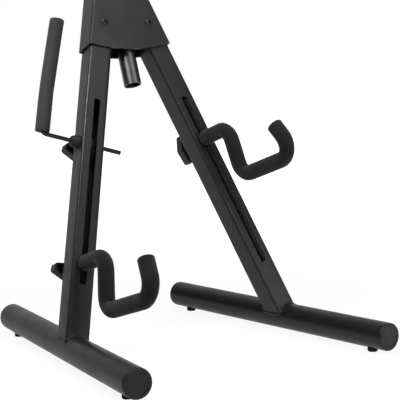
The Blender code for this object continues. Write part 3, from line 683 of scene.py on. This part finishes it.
FLOOR_SIZE = 14
FLOOR_DROP = 0.0002                     # keeps the floor clear of the pads
FLOOR_GREY = (0.62, 0.62, 0.62, 1)
WHITE = (1, 1, 1, 1)
WARM_WHITE = (1, 0.985, 0.955, 1)
SEEN_GLOW = 1.33                        # floor as the camera sees it
SEEN_SHARES = (0.68, 1.0)               # share of it over the lit paper, near the rack and far off
SEEN_REACH = (0.45, 1.3)
MIRRORED_GLOW = (0.64, 1.0)             # floor as paint and steel mirror it, left and right of the rack
MIRRORED_REACH = (0.17, 0.30)
BACKDROP_LIGHT = 0.62
BACKDROP_REACH = (0.2, 0.75)            # cosine of the angle off the way that the camera looks
LEG_MIDDLE = (-0.05, 0.02, 0.4)
RACK_MIDDLE = (0, 0, 0.32)
RIGHT_FOOT_END = (0.2, -0.25, 0.02)
SOFT_BOXES = {                          # place, what it is turned to, width and power
    "left_box": ((-0.62, -0.12, 0.95), LEG_MIDDLE, 0.3, 3.5),
    "top_box": ((-0.1, -0.2, 1.15), LEG_MIDDLE, 0.4, 2.2),
    "front_box": ((0.0, -1.369, 0.611), RACK_MIDDLE, 0.8, 3.6),
    "upper_box": ((0.418, -0.897, 1.31), RACK_MIDDLE, 0.8, 2.8),
    "right_box": ((0.65, -0.80, 0.35), RIGHT_FOOT_END, 0.4, 0.9),
}


def blend(tree, factor, first, second):
    """Mix two shaders; returns the mixed one."""
    mix = tree.nodes.new("ShaderNodeMixShader")
    tree.links.new(factor, mix.inputs["Fac"])
    tree.links.new(first, mix.inputs[1])
    tree.links.new(second, mix.inputs[2])
    return mix.outputs["Shader"]


def studio_paper():
    """Pale paper that keeps the rack's shadow, goes white far off and is seen white in glossy surfaces."""
    paper = bpy.data.materials.new("studio_paper")
    paper.use_nodes = True
    tree = paper.node_tree
    tree.nodes.clear()
    rays = tree.nodes.new("ShaderNodeLightPath")
    matt = tree.nodes.new("ShaderNodeBsdfDiffuse")
    matt.inputs["Color"].default_value = FLOOR_GREY
    mirrored = tree.nodes.new("ShaderNodeEmission")
    mirrored.inputs["Color"].default_value = WARM_WHITE
    rightward = vector_step(tree, "DOT_PRODUCT", on_piece(tree), (1, 0, 0))
    tree.links.new(fade(tree, rightward, *MIRRORED_REACH, *MIRRORED_GLOW), mirrored.inputs["Strength"])
    seen = tree.nodes.new("ShaderNodeEmission")
    seen.inputs["Color"].default_value = WHITE
    seen.inputs["Strength"].default_value = SEEN_GLOW
    far = fade(tree, vector_step(tree, "LENGTH", on_piece(tree)), *SEEN_REACH, *SEEN_SHARES)
    share = number_step(tree, "MULTIPLY", rays.outputs["Is Camera Ray"], far)
    lit = blend(tree, rays.outputs["Is Glossy Ray"], matt.outputs["BSDF"], mirrored.outputs["Emission"])
    output = tree.nodes.new("ShaderNodeOutputMaterial")
    tree.links.new(blend(tree, share, lit, seen.outputs["Emission"]), output.inputs["Surface"])
    return paper


def studio_floor():
    """The sheet of paper that the rack stands on."""
    start_fresh()
    bpy.ops.mesh.primitive_plane_add(size=FLOOR_SIZE, location=(0, 0, -FLOOR_DROP))
    floor = bpy.context.object
    floor.name = "studio_floor"
    floor.data.materials.append(studio_paper())


def studio_backdrop():
    """White to the camera all round; only the part behind the rack sends light to it."""
    world = bpy.data.worlds.new("studio")
    scene.world = world
    world.use_nodes = True
    tree = world.node_tree
    tree.nodes.clear()
    rays = tree.nodes.new("ShaderNodeLightPath")
    seen = tree.nodes.new("ShaderNodeBackground")
    seen.inputs["Color"].default_value = WHITE
    seen.inputs["Strength"].default_value = 1.0
    lit = tree.nodes.new("ShaderNodeBackground")
    lit.inputs["Color"].default_value = WHITE
    outward = tree.nodes.new("ShaderNodeTexCoord").outputs["Generated"]
    camera_way = (math.sin(CAMERA_YAW), math.cos(CAMERA_YAW), 0)
    behind = vector_step(tree, "DOT_PRODUCT", outward, camera_way)
    tree.links.new(fade(tree, behind, *BACKDROP_REACH, 0.0, BACKDROP_LIGHT), lit.inputs["Strength"])
    sky = tree.nodes.new("ShaderNodeOutputWorld")
    backdrop = blend(tree, rays.outputs["Is Camera Ray"], lit.outputs["Background"],
                     seen.outputs["Background"])
    tree.links.new(backdrop, sky.inputs["Surface"])


def soft_box(name, place, target, width, power):
    """A round soft lamp that the camera doesn't see."""
    lamp = bpy.data.lights.new(name, "AREA")
    lamp.shape = "DISK"
    lamp.size = width
    lamp.energy = power
    box = bpy.data.objects.new(name, lamp)
    scene.collection.objects.link(box)
    box.location = place
    box.rotation_euler = (Vector(target) - Vector(place)).to_track_quat("-Z", "Y").to_euler()
    box.visible_camera = False


studio_floor()
studio_backdrop()
for box_name, box_values in SOFT_BOXES.items():
    soft_box(box_name, *box_values)
